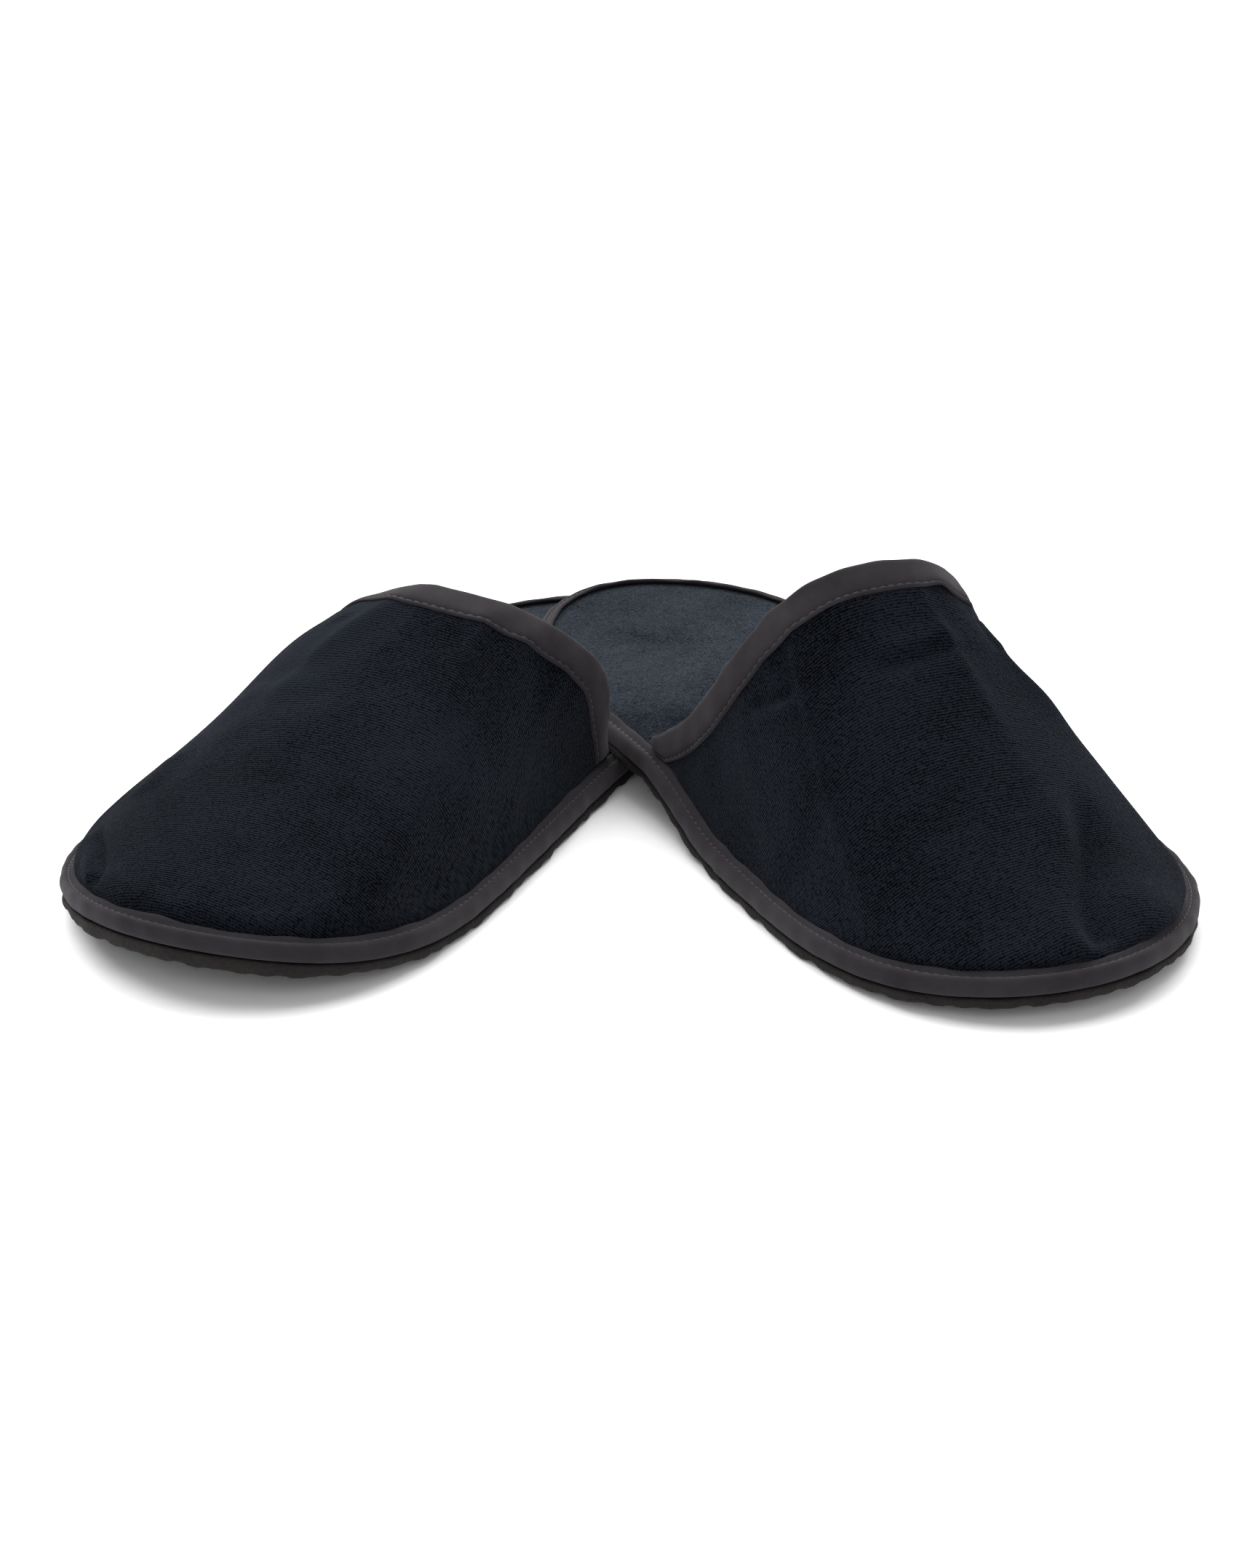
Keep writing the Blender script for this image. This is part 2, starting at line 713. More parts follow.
def cloth_position(sheet):
    """Where each point of a vamp sheet was on the flat cloth: across the foot, and along it."""
    edge, foot = sheet[0], sheet[-1]
    heading = (foot - edge)[:, :2]
    heading /= np.maximum(np.linalg.norm(heading, axis=1), 1e-6)[:, None]
    down = run_along(sheet)
    arch = running(np.hypot(np.diff(edge[:, 0]), np.diff(edge[:, 2])))
    u = arch[len(arch) // 2] - arch + down * heading[:, 0]
    w = edge[:, 1] + down * heading[:, 1]
    return np.stack((u, w, np.zeros_like(u)), axis=-1)


class ThroatPaths:
    """Paths down the vamp's surface, each in the plane square to the throat edge at its start."""

    ROWS = 60
    COLUMNS = 420

    def __init__(self, vamp, s, depth):
        t = np.linspace(0, 0.9, self.ROWS) ** 1.3
        sheet = vamp.sheet(np.linspace(0, 1, self.COLUMNS), t, depth)
        self.edge = vamp.sheet(s, t[:2], depth)[0]
        along = np.gradient(self.edge, axis=0)
        along /= np.linalg.norm(along, axis=1)[:, None]
        self.path = np.empty((self.ROWS, len(s), 3))
        self.path[0] = self.edge
        for k in range(len(s)):
            ahead = (sheet - self.edge[k]) @ along[k]
            column = s[k] * (self.COLUMNS - 1)
            for row in range(1, self.ROWS):
                line = ahead[row]
                turns = np.nonzero(line[:-1] * line[1:] <= 0)[0]
                if len(turns):
                    i = turns[np.abs(turns - column).argmin()]
                    column = i + line[i] / (line[i] - line[i + 1] + 1e-15)
                else:
                    column = 0.0 if s[k] < 0.5 else self.COLUMNS - 1.0
                i = min(int(column), self.COLUMNS - 2)
                share = column - i
                self.path[row, k] = sheet[row, i] * (1 - share) + sheet[row, i + 1] * share
        self.travelled = run_along(self.path)
        ahead = self.path[2] - self.edge
        ahead -= (ahead * along).sum(axis=1)[:, None] * along
        self.square = ahead / np.maximum(np.linalg.norm(ahead, axis=1), 1e-9)[:, None]

    def at(self, distances):
        """One point per path at a distance down it; a negative one is past the edge."""
        points = np.empty_like(self.edge)
        for k, distance in enumerate(distances):
            if distance < 0:
                points[k] = self.edge[k] + self.square[k] * distance
            else:
                run, path = self.travelled[:, k], self.path[:, k]
                points[k] = [np.interp(distance, run, path[:, c]) for c in range(3)]
        return points


# Throat tape's section, from its outer free edge over the throat and back inside to the start:
# (depth below the vamp's face in mm, share of the tape's reach).
TAPE_OUTER = (
    *((-0.15, 0.985), (-0.45, 1.0), (-0.80, 0.985), (-0.95, 0.955), (-0.92, 0.925)),
    *((-0.72, 0.900), (-0.50, 0.875), (-0.52, 0.850), (-0.85, 0.825), (-1.08, 0.77)),
    *((-1.20, 0.66), (-1.26, 0.52), (-1.24, 0.38), (-1.18, 0.24), (-1.12, 0.12), (-1.10, 0.0)),
)
TAPE_INNER = (
    *((5.80, 0.0), (5.78, 0.2), (5.75, 0.4), (5.70, 0.6), (5.62, 0.8), (5.45, 0.93), (5.10, 0.97)),
    *((4.95, 0.9), (4.95, 0.5), (4.95, 0.0)),
)
TAPE_UNDER_OUTER = ((-0.25, 0.0), (-0.25, 0.4), (-0.22, 0.8))
TAPE_HIDDEN_INNER = 3
TAPE_TURN = 7
TAPE_VISIBLE = len(TAPE_OUTER) + TAPE_TURN + len(TAPE_INNER) - TAPE_HIDDEN_INNER
TAPE_SECTIONS = 420
GROOVE_SHARE = 0.862
STITCH_ROW, ROWS_BESIDE = 6, (4, 8)


def throat_tape(vamp):
    """The tape folded over the throat edge: points (profile, sections, 3) and cloth positions."""
    slipper = vamp.slipper
    even = np.linspace(0, 1, TAPE_SECTIONS)
    s = 0.55 * (0.5 - 0.5 * np.cos(np.linspace(0, math.pi, TAPE_SECTIONS))) + 0.45 * even
    face, back = ThroatPaths(vamp, s, 0.0), ThroatPaths(vamp, s, VAMP_DEPTH)
    reach = np.minimum(slipper.tape_width, 0.92 * face.travelled[-1])
    inner_reach = reach * (0.5 + 0.5 * smoothstep(np.minimum(s, 1 - s) / 0.05))
    run = run_along(face.edge)
    pucker = 0.00010 * wobble(run, slipper.seed, (0.011, 0.017, 0.026))
    fine = 0.00005 * np.cos(2 * math.pi * run / STITCH_PITCH)
    at, spread, height = slipper.tape_flare
    flare = height * np.exp(-(((s - at) / spread) ** 2))
    middle, fold = VAMP_DEPTH / 2, 0.0019
    section = []
    for depth, share in TAPE_OUTER:
        lifted = depth / 1000 - pucker * math.sin(math.pi * min(1, share * 1.1)) - flare * share**1.5
        lifted = lifted + fine * math.exp(-(((share - GROOVE_SHARE) / 0.05) ** 2))
        section.append((lifted, reach * share))
    for angle in np.linspace(0, math.pi, TAPE_TURN + 2)[1:-1]:
        beyond = -fold * math.sin(angle) * (1 + 0.6 * pucker / 0.0003)
        section.append((middle - (middle + 0.0011) * math.cos(angle), beyond))
    section += [(depth / 1000, inner_reach * share) for depth, share in TAPE_INNER]
    for angle in np.linspace(math.pi, 0, 7)[1:-1]:
        section.append((middle - (middle + 0.0003) * math.cos(angle), -0.0010 * math.sin(angle)))
    for depth, share in TAPE_UNDER_OUTER:
        section.append((depth / 1000 - flare * share**1.5, reach * share))
    rows = []
    for depth, distance in section:
        depth, distance = (np.broadcast_to(v, (TAPE_SECTIONS,)) for v in (depth, distance))
        flat, deep = face.at(distance), back.at(distance)
        rows.append(flat + (deep - flat) * (depth / VAMP_DEPTH)[:, None])
    rows = np.array(rows)
    return rows, strip_weave(rows, run)


def tape_ends(rows):
    """Closed pads over the two cut ends of the throat tape, where it is turned under."""
    levels = ((-0.0006, 0.97), (0.0002, 0.99), (0.0007, 0.95), (0.0010, 0.84))
    points, faces = [], []
    for end, next_in in ((0, 1), (-1, -2)):
        ring = rows[:TAPE_VISIBLE, end]
        middle = ring.mean(axis=0)
        out = middle - rows[:TAPE_VISIBLE, next_in].mean(axis=0)
        out /= np.linalg.norm(out)
        faces += tube_faces(len(levels), TAPE_VISIBLE, len(points) * TAPE_VISIBLE)
        points += [middle + (ring - middle) * size + out * beyond for beyond, size in levels]
    return np.vstack(points), faces


def stitches(path, up, pitch, length, radius):
    """Separate stitches lying along a path, each a small rounded strand whose ends dip into the cloth."""
    run = run_along(path)
    ring_at = np.array([-0.5, -0.42, -0.22, 0.0, 0.22, 0.42, 0.5]) * length
    ring_size = np.array([0.25, 0.75, 1.0, 1.05, 1.0, 0.75, 0.25]) * radius
    ring_drop = np.array([0.9, 0.45, 0.1, 0.0, 0.1, 0.45, 0.9]) * radius * 1.6
    rings, sides = len(ring_at), 7
    turn = np.arange(sides)[:, None] / sides * 2 * math.pi
    points, faces = [], []
    for number, centre in enumerate(np.arange(pitch / 2, run[-1], pitch)):
        at = np.clip(centre + ring_at, 0, run[-1])
        spine = np.column_stack([np.interp(at, run, path[:, k]) for k in range(3)])
        lift = np.column_stack([np.interp(at, run, up[:, k]) for k in range(3)])
        lift /= np.linalg.norm(lift, axis=1)[:, None]
        ahead = spine[-1] - spine[0]
        ahead /= np.linalg.norm(ahead)
        side = np.cross(ahead, lift)
        spine = spine - lift * ring_drop[:, None]
        slant = 0.00012 * math.sin(2.4 * number)
        spine += side * (np.linspace(-1, 1, rings) * slant)[:, None]
        faces += tube_faces(rings, sides, len(points) * sides)
        for k in range(rings):
            points.append(spine[k] + ring_size[k] * (np.cos(turn) * side[k] + np.sin(turn) * lift[k]))
    return np.vstack(points), faces


# ---------------------------------------------------------------- materials
class Shading:
    """A node material being built: its principled shader and a short way to add nodes."""

    def __init__(self, name, roughness, **sockets):
        self.material = bpy.data.materials.new(name)
        self.material.use_nodes = True
        self.tree = self.material.node_tree
        self.shader = self.tree.nodes["Principled BSDF"]
        self.shader.inputs["Roughness"].default_value = roughness
        for socket, value in sockets.items():
            self.shader.inputs[socket.replace("_", " ")].default_value = value

    def node(self, kind, settings=None, **inputs):
        made = self.tree.nodes.new(kind)
        for key, value in (settings or {}).items():
            setattr(made, key, value)
        for key, value in inputs.items():
            socket = made.inputs[int(key[1:])] if key[0] == "i" and key[1:].isdigit() else made.inputs[key]
            if isinstance(value, bpy.types.NodeSocket):
                self.tree.links.new(value, socket)
            else:
                socket.default_value = value
        return made

    def math(self, operation, a, b=0.0, c=0.0):
        return self.node("ShaderNodeMath", {"operation": operation}, i0=a, i1=b, i2=c).outputs[0]

    def noise(self, vector, scale, detail=2.0, rough=0.5):
        inputs = {"Vector": vector, "Scale": scale, "Detail": detail, "Roughness": rough}
        return self.node("ShaderNodeTexNoise", None, **inputs).outputs["Fac"]

    def stretched(self, vector, factors, offset=(0.0, 0.0, 0.0)):
        settings = {"operation": "MULTIPLY_ADD"}
        return self.node("ShaderNodeVectorMath", settings, i0=vector, i1=factors, i2=offset).outputs[0]

    def sum(self, a, a_share, b, b_share):
        """Two values added, each times its share."""
        return self.math("MULTIPLY_ADD", a, a_share, self.math("MULTIPLY", b, b_share))

    def wave(self, value):
        """A sine wave from 0 to 1, with one turn per unit of the value."""
        sine = self.math("SINE", self.math("MULTIPLY", value, 2 * math.pi))
        return self.math("MULTIPLY_ADD", sine, 0.5, 0.5)

    def split(self, vector):
        return self.node("ShaderNodeSeparateXYZ", None, Vector=vector).outputs

    def position(self):
        return self.node("ShaderNodeTexCoord").outputs["Object"]

    def weave(self):
        return self.node("ShaderNodeAttribute", {"attribute_name": "weave"}).outputs["Vector"]

    def ramp(self, value, *stops):
        made = self.node("ShaderNodeValToRGB", None, Fac=value)
        while len(made.color_ramp.elements) < len(stops):
            made.color_ramp.elements.new(0.5)
        for element, (at, colour) in zip(made.color_ramp.elements, stops):
            element.position = at
            element.color = (*colour, 1.0)
        return made.outputs["Color"]

    def finish(self, colour, height, strength, distance):
        self.tree.links.new(colour, self.shader.inputs["Base Color"])
        bump = self.node("ShaderNodeBump", None, Strength=strength, Distance=distance, Height=height)
        self.tree.links.new(bump.outputs["Normal"], self.shader.inputs["Normal"])
        return self.material


def velour(name, tones, loop, rib, sheen):
    """Looped velour: rows of pile loops across the foot, patches where the pile leans, and sheen."""
    made = Shading(
        name,
        0.92,
        Sheen_Weight=sheen,
        Sheen_Roughness=0.26,
        Sheen_Tint=(0.62, 0.72, 0.86, 1.0),
        Specular_IOR_Level=0.02,
    )
    weave, position = made.weave(), made.position()
    drift = made.node("ShaderNodeTexNoise", None, Vector=position, Scale=160.0, Detail=2.0).outputs["Color"]
    jitter = made.stretched(drift, (0.0011, 0.0011, 0.0), (-0.00055, -0.00055, 0.0))
    moved = made.node("ShaderNodeVectorMath", {"operation": "ADD"}, i0=weave, i1=jitter).outputs[0]
    scaled = made.stretched(moved, (1 / loop, 1 / rib, 0.0))
    cells = made.node("ShaderNodeTexVoronoi", {"voronoi_dimensions": "2D"}, Vector=scaled, Scale=1.0)
    cells.inputs["Randomness"].default_value = 0.62
    loops = made.math("SUBTRACT", 1.0, made.math("MULTIPLY", cells.outputs["Distance"], 1.15))
    ribs = made.wave(made.split(scaled)["Y"])
    fibres = made.noise(position, 2600.0, 3.0, 0.7)
    height = made.math("MULTIPLY_ADD", fibres, 0.45, made.sum(ribs, 0.28, loops, 0.62))
    patches = made.noise(position, 26.0, 4.0, 0.62)
    speckle = made.noise(position, 700.0, 2.0, 0.6)
    tone = made.math("MULTIPLY_ADD", speckle, 0.60, made.sum(patches, 0.75, height, 0.85))
    tone = made.math("ADD", tone, made.split(weave)["Z"])
    colour = made.ramp(made.math("MULTIPLY", tone, 0.58), *zip((0.38, 0.60, 0.84), tones))
    return made.finish(colour, height, 1.0, 0.00045)


def tape_cloth(name, dark, light):
    """Fine brushed binding tape: a close plain weave, slightly shiny, worn paler in places."""
    made = Shading(
        name,
        0.82,
        Sheen_Weight=0.08,
        Sheen_Roughness=0.5,
        Sheen_Tint=(0.86, 0.78, 0.84, 1.0),
        Specular_IOR_Level=0.08,
    )
    weave, position = made.weave(), made.position()
    split = made.split(weave)
    pitch = 2 * math.pi / 0.00042
    across = made.math("SINE", made.math("MULTIPLY", split["X"], pitch))
    along = made.math("SINE", made.math("MULTIPLY", split["Y"], pitch))
    threads = made.math("MULTIPLY_ADD", made.math("MULTIPLY", across, along), 0.5, 0.5)
    fuzz = made.noise(position, 3200.0, 3.0, 0.65)
    height = made.sum(threads, 0.5, fuzz, 0.6)
    wear = made.noise(position, 60.0, 4.0, 0.6)
    tone = made.sum(wear, 0.75, height, 0.3)
    colour = made.ramp(tone, (0.30, dark), (0.80, light))
    return made.finish(colour, height, 0.45, 0.00018)


def rough_foam(name, dark, light):
    """Cut foam: open pores of two sizes and uneven tone."""
    made = Shading(name, 0.88, Specular_IOR_Level=0.25)
    position = made.position()
    pores = made.node("ShaderNodeTexVoronoi", None, Vector=position, Scale=900.0).outputs["Distance"]
    grains = made.noise(position, 1980.0, 4.0, 0.7)
    height = made.sum(pores, 0.6, grains, 0.6)
    uneven = made.noise(position, 70.0, 3.0, 0.6)
    tone = made.sum(uneven, 0.6, height, 0.4)
    colour = made.ramp(tone, (0.25, dark), (0.80, light))
    return made.finish(colour, height, 0.9, 0.0006)


def knit(name, dark, light):
    """Fine jersey knit: small chevron loops in columns."""
    made = Shading(name, 0.9, Sheen_Weight=0.2, Specular_IOR_Level=0.15)
    weave, position = made.weave(), made.position()
    split = made.split(weave)
    wale = made.math("PINGPONG", made.math("MULTIPLY", split["X"], 1 / 0.0006), 1.0)
    loops = made.wave(made.math("MULTIPLY_ADD", split["Y"], 1 / 0.0007, wale))
    height = made.sum(loops, 0.5, made.noise(position, 2500.0, 3.0, 0.65), 0.5)
    tone = made.sum(made.noise(position, 40.0, 3.0), 0.5, height, 0.5)
    return made.finish(made.ramp(tone, (0.25, dark), (0.75, light)), height, 0.5, 0.0003)


def thread_finish(name, dark, light):
    """Twisted polyester thread."""
    made = Shading(name, 0.6, Sheen_Weight=0.2, Specular_IOR_Level=0.35)
    position = made.position()
    twist = made.noise(position, 5200.0, 2.0, 0.6)
    tone = made.sum(twist, 0.6, made.noise(position, 300.0), 0.4)
    return made.finish(made.ramp(tone, (0.3, dark), (0.7, light)), twist, 0.5, 0.0001)


def board_finish(name):
    """Pressed fibre board: matted fibres and flecks."""
    made = Shading(name, 0.85, Specular_IOR_Level=0.2)
    position = made.position()
    fibres = made.noise(made.stretched(position, (1.0, 4.0, 1.0)), 900.0, 5.0, 0.7)
    flecks = made.noise(position, 260.0, 3.0, 0.6)
    tone = made.sum(fibres, 0.6, flecks, 0.4)
    colour = made.ramp(tone, (0.3, (0.14, 0.125, 0.11)), (0.7, (0.30, 0.27, 0.23)))
    return made.finish(colour, fibres, 0.4, 0.0003)


VELOUR = velour(
    "navy_velour",
    ((0.0001, 0.0001, 0.0003), (0.0004, 0.0006, 0.0012), (0.0078, 0.0094, 0.0134)),
    loop=0.00078,
    rib=0.00088,
    sheen=0.055,
)
FOOTBED = velour(
    "navy_velour_footbed",
    ((0.0009, 0.0013, 0.0024), (0.0042, 0.0056, 0.0084), (0.0340, 0.0400, 0.0500)),
    loop=0.00060,
    rib=0.00072,
    sheen=0.036,
)
TAPE = tape_cloth("charcoal_tape", (0.0085, 0.0075, 0.0092), (0.0310, 0.0275, 0.0320))
SOLE_TAPE = tape_cloth("charcoal_sole_tape", (0.0095, 0.0086, 0.0102), (0.0245, 0.0220, 0.0258))
OUTSOLE = rough_foam("outsole_foam", (0.0030, 0.0025, 0.0023), (0.0145, 0.0122, 0.0112))
LINING = knit("lining_knit", (0.0060, 0.0075, 0.0110), (0.0220, 0.0260, 0.0340))
THREAD = thread_finish("sewing_thread", (0.0050, 0.0045, 0.0055), (0.0200, 0.0180, 0.0215))
BOARD = board_finish("insole_board")


# ---------------------------------------------------------------- the pieces
OUTSOLE_HALF, OUTSOLE_COLUMNS = 340, 16
FOOTBED_HALF, FOOTBED_COLUMNS = 170, 90
BINDING_SECTIONS = 1300
BINDING_GROOVE = 6
SOLE_STITCH_PITCH = PERIMETER / round(PERIMETER / STITCH_PITCH)


def outsole(slipper):
    """The cut foam outsole with its uneven, rippled lower edge."""
    ring = paired_ring(OUTSOLE_HALF)
    distance = np.interp(ring, np.arange(OUTLINE_COUNT + 1), TRAVELLED)
    y = edge_at(ring)[0][:, 1]
    scallop = np.clip(0.5 + 0.5 * wobble(distance, slipper.seed, (0.0065, 0.009, 0.0125)), 0, 1.3)
    sway = 0.00030 * wobble(distance, slipper.seed + 1, (0.013, 0.021, 0.034))
    grain = 0.00006 * wobble(distance, slipper.seed + 2, (0.0021, 0.0029, 0.0037))
    sag = slipper.toe_sag * smoothstep((y / SOLE_LENGTH - 0.90) / 0.08)
    ripple = 0.00062 * scallop
    levels = [
        (0.0030 + sway, 0.0 - sag + 0.6 * ripple),
        (0.0013 + sway, 0.00008 - sag + 0.8 * ripple),
        (0.0006 + sway, 0.00045 - sag + ripple),
        (0.00030 + sway + grain, 0.0011 - 0.7 * sag + 0.6 * ripple),
        (0.00025 + sway - grain, 0.0018 - 0.4 * sag),
        (0.00032 + sway, 0.0026),
        (0.00070 + sway, 0.0030),
        (0.0016, 0.00312),
        (0.0050, 0.00290),
    ]
    points, faces = plate(levels, lambda inner: inner, OUTSOLE_HALF, OUTSOLE_COLUMNS)
    points = placed(slipper, points)
    add_piece(slipper, "outsole_sheet", points, faces, OUTSOLE, ["outsole"])


# Sole tape's section in mm, as (inset, height): its outer roll, with how much it puckers and how
# far round the join reaches, and then its hidden underside.
BINDING_ROLL = (
    *((1.60, 8.72, 0.5, 0.75), (1.20, 8.74, 0.8, 0.65), (0.75, 8.50, 1.0, 0.55)),
    *((0.35, 8.05, 1.0, 0.45), (0.05, 7.40, 1.0, 0.35), (-0.12, 6.60, 1.0, 0.25)),
    *((-0.18, 5.80, 1.0, 0.15), (-0.12, 5.00, 1.0, 0.05), (0.05, 4.35, 0.9, 0.0)),
    *((0.35, 3.85, 0.7, 0.0), (0.85, 3.55, 0.4, 0.0), (2.00, 3.42, 0.0, 0.0), (7.80, 3.40, 0.0, 0.0)),
)
BINDING_UNDER = (
    *((7.80, 3.62), (2.10, 3.64), (1.35, 4.10), (1.00, 5.20), (1.00, 6.60)),
    *((1.40, 7.60), (2.20, 7.92), (3.30, 8.10), (4.10, 8.60)),
)
JOIN_AT, NO_JOIN = float(TRAVELLED[218]), 10.0


def binding_profile(slipper):
    """The tape round the sole: a rounded roll outside, a stitched groove and an inner flange."""

    def at(distance):
        pucker = 0.00012 * wobble(distance, slipper.seed + 5, (0.009, 0.014, 0.022, 0.041))
        soft = 0.00018 * wobble(distance, slipper.seed + 6, (0.055, 0.083, 0.12))
        dimple = 0.00013 * np.cos(2 * math.pi * distance / SOLE_STITCH_PITCH)
        strip = 0.00018 * wobble(distance, slipper.seed + 7, (0.012, 0.019, 0.033))
        from_tip = distance - TRAVELLED[TIP] - 0.004
        lift = 0.0008 * np.exp(-((from_tip / 0.013) ** 2)) if slipper is RIGHT else 0
        join = distance - (JOIN_AT if slipper is LEFT else NO_JOIN)

        def lap(level):
            return 0.00045 * smoothstep((join - 0.010 * level) / 0.0012) * smoothstep((0.046 - join) / 0.040)

        upper = (
            (4.60 - 300 * lift, 9.15, strip + lift),
            (4.30 - 300 * lift, 9.62, strip + lift),
            (3.75, 9.62, strip + 0.8 * lift),
            (3.25, 9.20, 0.6 * strip + 0.4 * lift),
            (2.75, 8.78, 0.2 * strip),
        )
        rows = [(i / 1000, z / 1000 + d + lap(1.0) * 0.5) for i, z, d in upper]
        groove = ((2.45, 8.50), (2.15, 8.40), (1.90, 8.52))
        rows += [(i / 1000, z / 1000 - dimple * 0.8 + lap(0.8) * 0.4) for i, z in groove]
        for i, z, share, level in BINDING_ROLL:
            out = share * (pucker + soft * 0.5 + lap(level))
            rows.append((i / 1000 - out, z / 1000 + share * (0.5 * pucker + 0.3 * soft) * (z > 5.0)))
        return rows + [(i / 1000, z / 1000) for i, z in BINDING_UNDER]

    return at


def sole_binding(slipper):
    points, weave = swept_ring(binding_profile(slipper), BINDING_SECTIONS)
    faces = grid_faces(points.shape[0], BINDING_SECTIONS, wrap_rows=True, wrap_columns=True)
    tape = placed(slipper, points)
    add_piece(slipper, "binding_tape", tape, faces, SOLE_TAPE, ["sole_binding"], weave)
    groove = points[BINDING_GROOVE]
    path = placed(slipper, np.vstack((groove, groove[:1])))
    up = np.zeros_like(path)
    up[:, 2] = 1.0
    made, faces = stitches(path + up * 0.00004, up, SOLE_STITCH_PITCH * 0.985, 0.0019, 0.00018)
    add_piece(slipper, "sole_stitches", made, faces, THREAD, ["sole_stitching"])


def footbed(slipper):
    """The padded footbed: velour over foam, crowned between its bound edges and pressed in places."""

    def top(inner):
        raised = smoothstep((edge_distance(inner) - 0.0060) / 0.0160)
        inner = inner.copy()
        draw = np.random.default_rng(slipper.seed + 20)
        waves = np.zeros(len(inner))
        for wavelength in (0.021, 0.034, 0.055, 0.013):
            angle, phase = draw.uniform(0, math.pi), draw.uniform(0, 6.28)
            run = inner[:, 0] * math.cos(angle) + inner[:, 1] * math.sin(angle)
            waves += np.sin(2 * math.pi * run / wavelength + phase) * (wavelength / 0.034) ** 0.5
        inner[:, 2] += 0.00100 * raised - 0.00010 * (waves.max() - waves) * raised
        for line, depth, width in slipper.footbed_folds:
            away, _, _ = line_distance(inner[:, :2], smooth_line(line))
            inner[:, 2] -= depth * np.exp(-((away / width) ** 2))
        return inner

    levels = (
        *((0.0017, 0.00482), (0.0014, 0.00520), (0.0013, 0.00620), (0.0016, 0.00725)),
        *((0.0024, 0.00766), (0.0036, 0.00778), (0.0052, 0.00780)),
    )
    points, faces = plate(levels, top, FOOTBED_HALF, FOOTBED_COLUMNS)
    weave = points.copy()
    weave[:, 2] = -0.20 * smoothstep((points[:, 1] - 0.060) / 0.050)
    points = placed(slipper, points)
    nodes = ["footbed_cover", "sole_foam"]
    piece = add_piece(slipper, "footbed", points, faces, FOOTBED, nodes, weave)


VAMP_COLUMNS, VAMP_ROWS = 300, 140
LINING_COLUMNS, LINING_ROWS = 160, 70


def nap_lean(slipper, s, t):
    """How far the pile is brushed so that it looks paler, over the vamp."""
    total = np.zeros((len(t), len(s)))
    for at_s, at_t, spread_s, spread_t, amount in slipper.nap:
        across, down = (s[None, :] - at_s) / spread_s, (t[:, None] - at_t) / spread_t
        total += amount * np.exp(-(across**2) - down**2)
    return total


def vamp(slipper):
    shape = Vamp(slipper)
    s, t = np.linspace(0, 1, VAMP_COLUMNS), np.linspace(0, 1, VAMP_ROWS)
    outer = shape.sheet(s, t)
    points, faces = shell(outer, shape.sheet(s, t, VAMP_OUTER_THICKNESS))
    weave = cloth_position(outer)
    weave[..., 2] = nap_lean(slipper, s, t)
    weave = np.concatenate((weave, weave), axis=0)
    nodes = ["vamp_outer", "vamp_foam"]
    points = placed(slipper, points)
    piece = add_piece(slipper, "vamp", points, faces, VELOUR, nodes, weave)
    lining(shape)
    throat(shape)


def lining(shape):
    slipper = shape.slipper
    s, t = np.linspace(0, 1, LINING_COLUMNS), np.linspace(0, 1, LINING_ROWS)
    outer, inner = shape.sheet(s, t, LINING_DEPTH), shape.sheet(s, t, VAMP_DEPTH)
    points, faces = shell(outer, inner)
    weave = cloth_position(outer)
    weave = np.concatenate((weave, weave), axis=0)
    points = placed(slipper, points)
    piece = add_piece(slipper, "lining", points, faces, LINING, ["vamp_lining"], weave)
    cell = np.cross(np.diff(inner, axis=0)[:, :-1], np.diff(inner, axis=1)[:-1])
    area = float(np.linalg.norm(cell, axis=2).sum())


def throat(shape):
    """The throat's tape with its closed ends, and the row of stitches in its groove."""
    slipper = shape.slipper
    rows, weave = throat_tape(shape)
    count, size = rows.shape[:2]
    faces = grid_faces(count, size, wrap_rows=True)
    faces.append([k * size for k in range(count)])
    faces.append([k * size + size - 1 for k in reversed(range(count))])
    ends, end_faces = tape_ends(rows)
    faces += [[corner + count * size for corner in face] for face in end_faces]
    points = placed(slipper, np.vstack((rows.reshape(-1, 3), ends)))
    weave = np.vstack((weave.reshape(-1, 3), ends))
    add_piece(slipper, "throat_tape", points, faces, TAPE, ["throat_binding"], weave)

    keep = slice(8, -8)
    path = rows[STITCH_ROW][keep]
    before, after = (rows[row][keep] for row in ROWS_BESIDE)
    normal = np.cross(np.gradient(path, axis=0), after - before)
    normal /= np.linalg.norm(normal, axis=1)[:, None]
    normal *= np.sign(normal[:, 2].mean())
    lower, higher = placed(slipper, path), placed(slipper, path + normal * 0.001)
    made, faces = stitches(lower + (higher - lower) * 0.10, higher - lower, STITCH_PITCH, 0.0021, 0.00021)
    add_piece(slipper, "throat_stitches", made, faces, THREAD, ["throat_stitching"])


for each in (RIGHT, LEFT):
    outsole(each)
    sole_binding(each)
    footbed(each)
    vamp(each)
    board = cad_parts[f"{each.name}_insole_board"]
    board.data.materials.clear()
    board.data.materials.append(BOARD)


# ---------------------------------------------------------------- floor, light and camera
FLOOR_SIZE = 9.0
CAMERA_DISTANCE = 0.949
CAMERA_ELEVATION = math.radians(24.0)
CAMERA_LENS = 4589 * 36 / 2156


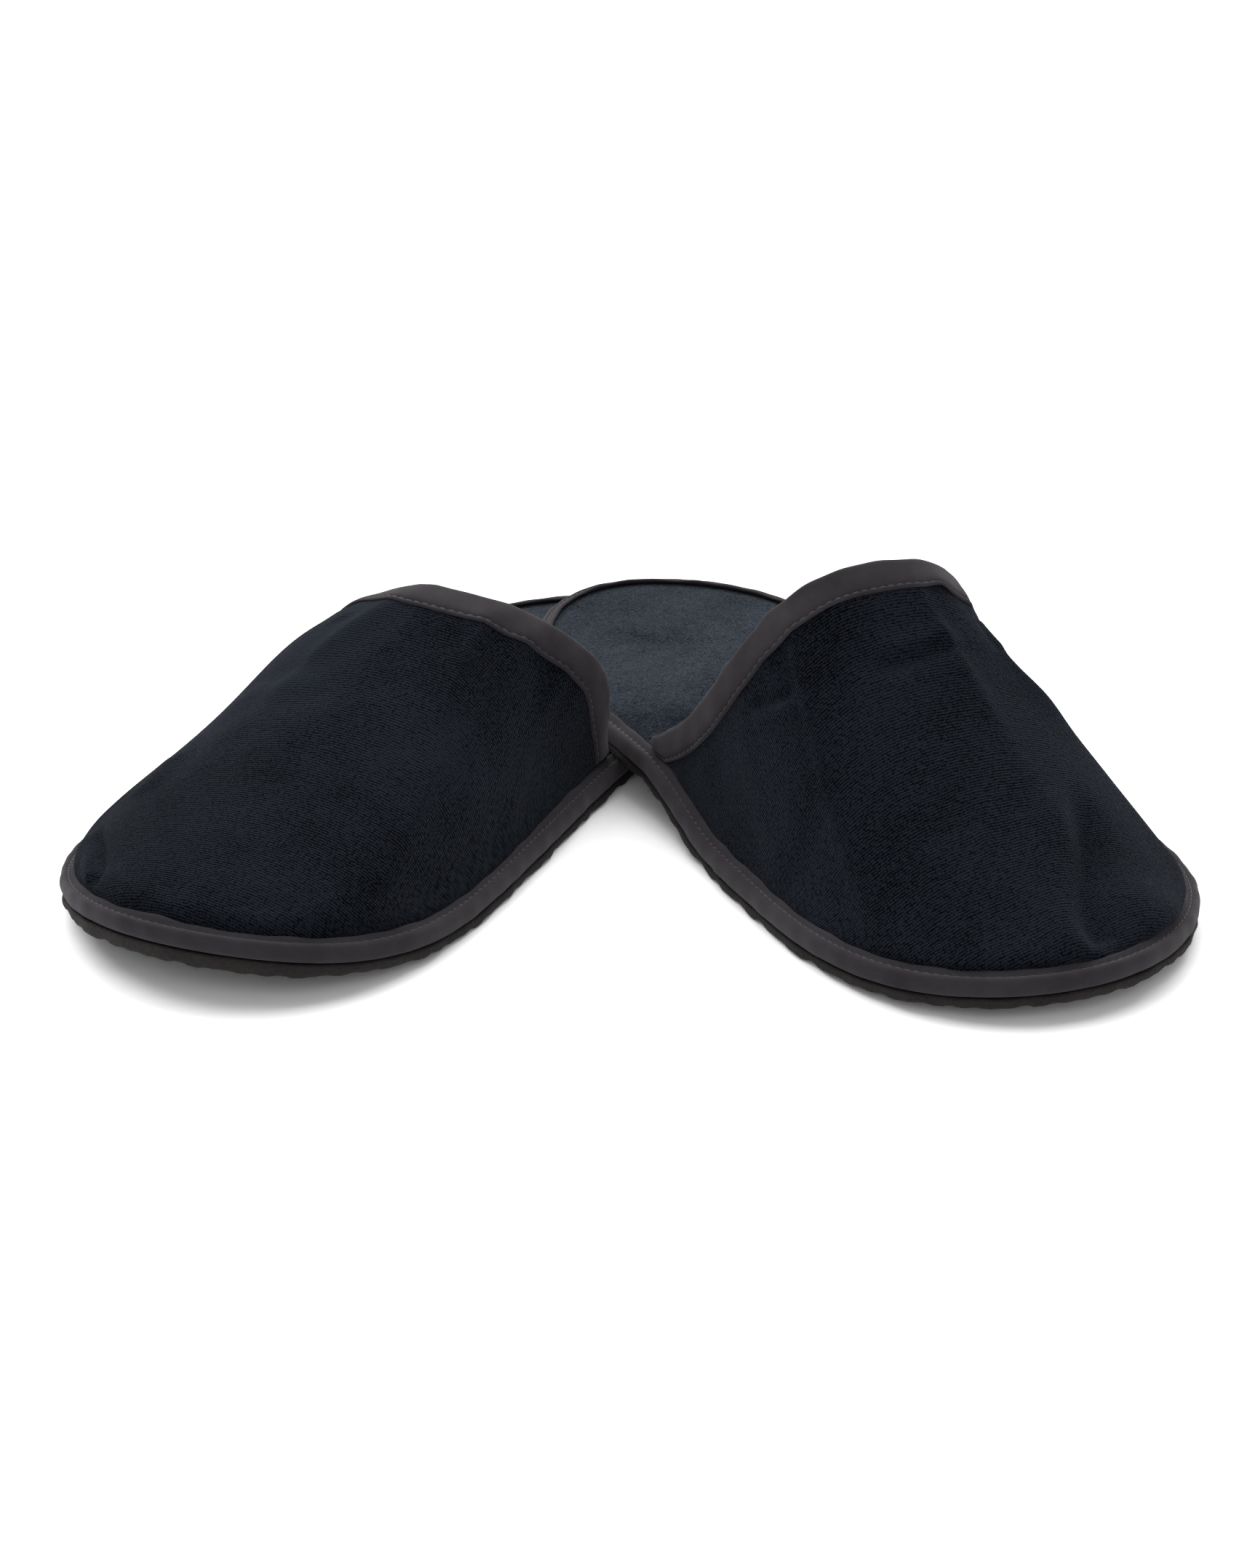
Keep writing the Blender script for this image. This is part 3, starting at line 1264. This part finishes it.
def floor():
    steps = 24
    edge = np.linspace(-FLOOR_SIZE / 2, FLOOR_SIZE / 2, steps)
    x, y = np.meshgrid(edge, edge)
    points = np.stack((x, y, np.full_like(x, -0.00005)), axis=-1).reshape(-1, 3)
    mesh = bpy.data.meshes.new("floor")
    mesh.from_pydata(points.tolist(), [], grid_faces(steps, steps))
    made = Shading("floor_paper", 0.75, Specular_IOR_Level=0.1)
    grain = made.noise(made.position(), 90.0, 3.0)
    colour = made.ramp(grain, (0.2, (0.86, 0.86, 0.865)), (0.8, (0.89, 0.89, 0.895)))
    mesh.materials.append(made.finish(colour, grain, 0.02, 0.0005))
    obj = bpy.data.objects.new("floor", mesh)
    bpy.context.scene.collection.objects.link(obj)


def area_light(name, place, size, power):
    """A rectangular light aimed at the slippers."""
    data = bpy.data.lights.new(name, "AREA")
    data.shape = "RECTANGLE"
    data.size, data.size_y = size
    data.energy = power
    obj = bpy.data.objects.new(name, data)
    obj.location = place
    obj.rotation_mode = "QUATERNION"
    obj.rotation_quaternion = (-Vector(place)).to_track_quat("-Z", "Y")
    bpy.context.scene.collection.objects.link(obj)


def lights():
    area_light("overhead", (-0.3, 1.0, 2.2), (4.4, 3.2), 176.0)
    area_light("front_fill", (0.2, -2.0, 1.3), (3.0, 1.4), 20.0)
    world = bpy.data.worlds.new("studio")
    world.use_nodes = True
    background = world.node_tree.nodes["Background"]
    background.inputs["Color"].default_value = (1.0, 1.0, 1.0, 1.0)
    background.inputs["Strength"].default_value = 0.57
    bpy.context.scene.world = world


def camera():
    data = bpy.data.cameras.new("camera")
    data.lens = CAMERA_LENS
    data.sensor_width = 36.0
    data.clip_start, data.clip_end = 0.05, 30.0
    obj = bpy.data.objects.new("camera", data)
    target = Vector(SHIFT.tolist())
    back = Vector((0.0, -math.cos(CAMERA_ELEVATION), math.sin(CAMERA_ELEVATION)))
    obj.location = target + back * CAMERA_DISTANCE
    obj.rotation_mode = "QUATERNION"
    obj.rotation_quaternion = (-back).to_track_quat("-Z", "Y")
    bpy.context.scene.collection.objects.link(obj)
    bpy.context.scene.camera = obj


floor()
lights()
camera()
bpy.context.scene.view_settings.view_transform = "Standard"
